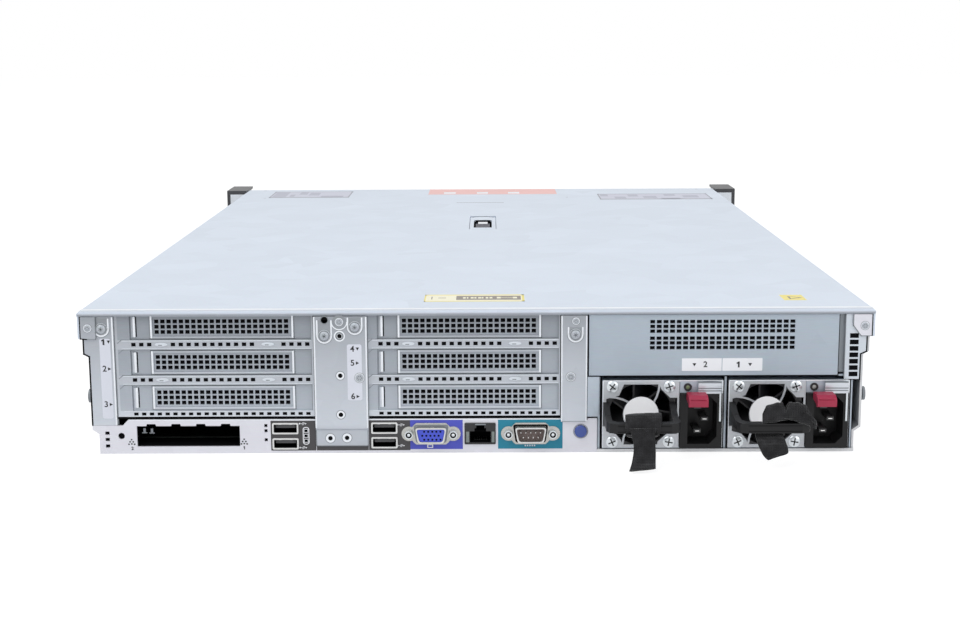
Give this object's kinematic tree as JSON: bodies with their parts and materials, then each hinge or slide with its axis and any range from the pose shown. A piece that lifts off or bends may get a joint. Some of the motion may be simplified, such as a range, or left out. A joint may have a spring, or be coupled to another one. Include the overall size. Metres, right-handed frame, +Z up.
{
  "type": "rack server",
  "caption": "Low rack server in a zinc sheet-steel chassis with a sliding hood, riser slots with vented blanks, rear connectors and plug-in power supplies with handles.",
  "frame": {"origin": "middle of the base, halfway between the rear panel and the front frame, on the floor plane", "axes": "+X to the right when facing the rear panel, +Y from the rear panel to the drive bays, +Z up"},
  "size_m": [0.4826, 0.7256, 0.083],
  "materials": {
    "zinc_sheet": "satin",
    "vent_sheet": "satin",
    "hood_sheet": "satin",
    "screw_steel": "satin",
    "shell_steel": "satin",
    "blue_connector": "satin",
    "board": "satin",
    "module_board": "satin",
    "fin_aluminium": "satin",
    "cage_plastic": "matte",
    "rotor_plastic": "satin",
    "drive_plastic": "matte",
    "ear_plastic": "satin",
    "handle_plastic": "satin",
    "maroon_plastic": "satin",
    "strap_fabric": "matte",
    "button_plastic": "satin"
  },
  "bodies": {
    "chassis": {"chassis_pan": "zinc_sheet", "rear_panel": "zinc_sheet", "left_upright": "zinc_sheet", "corner_flange": "zinc_sheet", "centre_bracket": "zinc_sheet", "divider_bracket": "zinc_sheet", "vent_panel": "vent_sheet", "psu_bay": "zinc_sheet", "rear_fasteners": "screw_steel", "rail_studs": "screw_steel", "riser_cage_1": "zinc_sheet", "riser_cage_2": "zinc_sheet", "riser_cards": "board", "slot_blanks": "zinc_sheet", "usb_ports": "shell_steel", "video_port": "shell_steel", "serial_port": "shell_steel", "network_port": "shell_steel", "system_board": "board", "heatsinks": "fin_aluminium", "memory_modules": "module_board", "fan_cage": "cage_plastic", "front_frame": "zinc_sheet", "front_fillers": "drive_plastic", "drive_cage": "zinc_sheet", "bay_blanks": "drive_plastic", "ear_left": "ear_plastic", "ear_right": "ear_plastic"},
    "hood": {"hood": "hood_sheet"},
    "hood_latch": {"hood_latch": "hood_sheet"},
    "id_button": {"id_button": "button_plastic"},
    "power_button": {"power_button": "button_plastic"},
    "drive_carrier": {"drive_carrier": "drive_plastic"},
    "drive_lever": {"drive_lever": "drive_plastic"},
    "ear_lever_left": {"ear_lever_left": "ear_plastic"},
    "ear_lever_right": {"ear_lever_right": "ear_plastic"},
    "psu_1": {"psu_1_case": "zinc_sheet", "psu_1_fan_housing": "cage_plastic", "psu_1_fan_guard": "zinc_sheet", "psu_1_handle": "handle_plastic", "psu_1_inlet": "handle_plastic", "psu_1_strap": "strap_fabric"},
    "psu_1_rotor": {"psu_1_rotor": "rotor_plastic"},
    "psu_1_release": {"psu_1_latch": "screw_steel", "psu_1_release_tab": "maroon_plastic"},
    "psu_2": {"psu_2_case": "zinc_sheet", "psu_2_fan_housing": "cage_plastic", "psu_2_fan_guard": "zinc_sheet", "psu_2_handle": "handle_plastic", "psu_2_inlet": "handle_plastic", "psu_2_strap": "strap_fabric"},
    "psu_2_rotor": {"psu_2_rotor": "rotor_plastic"},
    "psu_2_release": {"psu_2_latch": "screw_steel", "psu_2_release_tab": "maroon_plastic"},
    "fan_rotor_1": {"fan_rotor_1": "rotor_plastic"},
    "fan_rotor_2": {"fan_rotor_2": "rotor_plastic"},
    "fan_rotor_3": {"fan_rotor_3": "rotor_plastic"},
    "fan_rotor_4": {"fan_rotor_4": "rotor_plastic"},
    "fan_rotor_5": {"fan_rotor_5": "rotor_plastic"},
    "fan_rotor_6": {"fan_rotor_6": "rotor_plastic"}
  },
  "joints": [
    {"name": "hood_slide", "type": "slide", "parent": "chassis", "child": "hood", "axis": [0, -1, 0], "range_m": [0, 0.013]},
    {"name": "hood_latch_turn", "type": "hinge", "parent": "hood", "child": "hood_latch", "pos_m": [0.0028, 0.1, 0.0775], "axis": [-1, 0, 0], "range_deg": [0, 70]},
    {"name": "id_press", "type": "slide", "parent": "chassis", "child": "id_button", "axis": [0, 1, 0], "range_m": [0, 0.0008], "stiffness_N_per_m": 400},
    {"name": "power_press", "type": "slide", "parent": "chassis", "child": "power_button", "axis": [0, -1, 0], "range_m": [0, 0.001], "stiffness_N_per_m": 400},
    {"name": "drive_slide", "type": "slide", "parent": "chassis", "child": "drive_carrier", "axis": [0, 1, 0], "range_m": [0, 0.125]},
    {"name": "drive_lever_turn", "type": "hinge", "parent": "drive_carrier", "child": "drive_lever", "pos_m": [-0.19975, 0.3296, 0.0094], "axis": [-1, 0, 0], "range_deg": [0, 50]},
    {"name": "ear_lever_left_turn", "type": "hinge", "parent": "chassis", "child": "ear_lever_left", "pos_m": [-0.2285, 0.3475, 0.0415], "axis": [0, 0, -1], "range_deg": [0, 80]},
    {"name": "ear_lever_right_turn", "type": "hinge", "parent": "chassis", "child": "ear_lever_right", "pos_m": [0.2285, 0.3475, 0.0415], "axis": [0, 0, 1], "range_deg": [0, 80]},
    {"name": "psu_1_slide", "type": "slide", "parent": "chassis", "child": "psu_1", "axis": [0, -1, 0], "range_m": [0, 0.175]},
    {"name": "psu_1_spin", "type": "hinge", "parent": "psu_1", "child": "psu_1_rotor", "pos_m": [0.1637, -0.315, 0.022], "axis": [0, 1, 0], "continuous": true},
    {"name": "psu_1_release_press", "type": "slide", "parent": "psu_1", "child": "psu_1_release", "axis": [-1, 0, 0], "range_m": [0, 0.003], "stiffness_N_per_m": 400},
    {"name": "psu_2_slide", "type": "slide", "parent": "chassis", "child": "psu_2", "axis": [0, -1, 0], "range_m": [0, 0.175]},
    {"name": "psu_2_spin", "type": "hinge", "parent": "psu_2", "child": "psu_2_rotor", "pos_m": [0.0928, -0.315, 0.022], "axis": [0, 1, 0], "continuous": true},
    {"name": "psu_2_release_press", "type": "slide", "parent": "psu_2", "child": "psu_2_release", "axis": [-1, 0, 0], "range_m": [0, 0.003], "stiffness_N_per_m": 400},
    {"name": "fan_spin_1", "type": "hinge", "parent": "chassis", "child": "fan_rotor_1", "pos_m": [-0.175, 0.109, 0.036], "axis": [0, 1, 0], "continuous": true},
    {"name": "fan_spin_2", "type": "hinge", "parent": "chassis", "child": "fan_rotor_2", "pos_m": [-0.105, 0.109, 0.036], "axis": [0, 1, 0], "continuous": true},
    {"name": "fan_spin_3", "type": "hinge", "parent": "chassis", "child": "fan_rotor_3", "pos_m": [-0.035, 0.109, 0.036], "axis": [0, 1, 0], "continuous": true},
    {"name": "fan_spin_4", "type": "hinge", "parent": "chassis", "child": "fan_rotor_4", "pos_m": [0.035, 0.109, 0.036], "axis": [0, 1, 0], "continuous": true},
    {"name": "fan_spin_5", "type": "hinge", "parent": "chassis", "child": "fan_rotor_5", "pos_m": [0.105, 0.109, 0.036], "axis": [0, 1, 0], "continuous": true},
    {"name": "fan_spin_6", "type": "hinge", "parent": "chassis", "child": "fan_rotor_6", "pos_m": [0.175, 0.109, 0.036], "axis": [0, 1, 0], "continuous": true}
  ],
  "couplings": [
    {"joint": "hood_latch_turn", "follows": "hood_slide", "rad_per_m": 93.9}
  ]
}
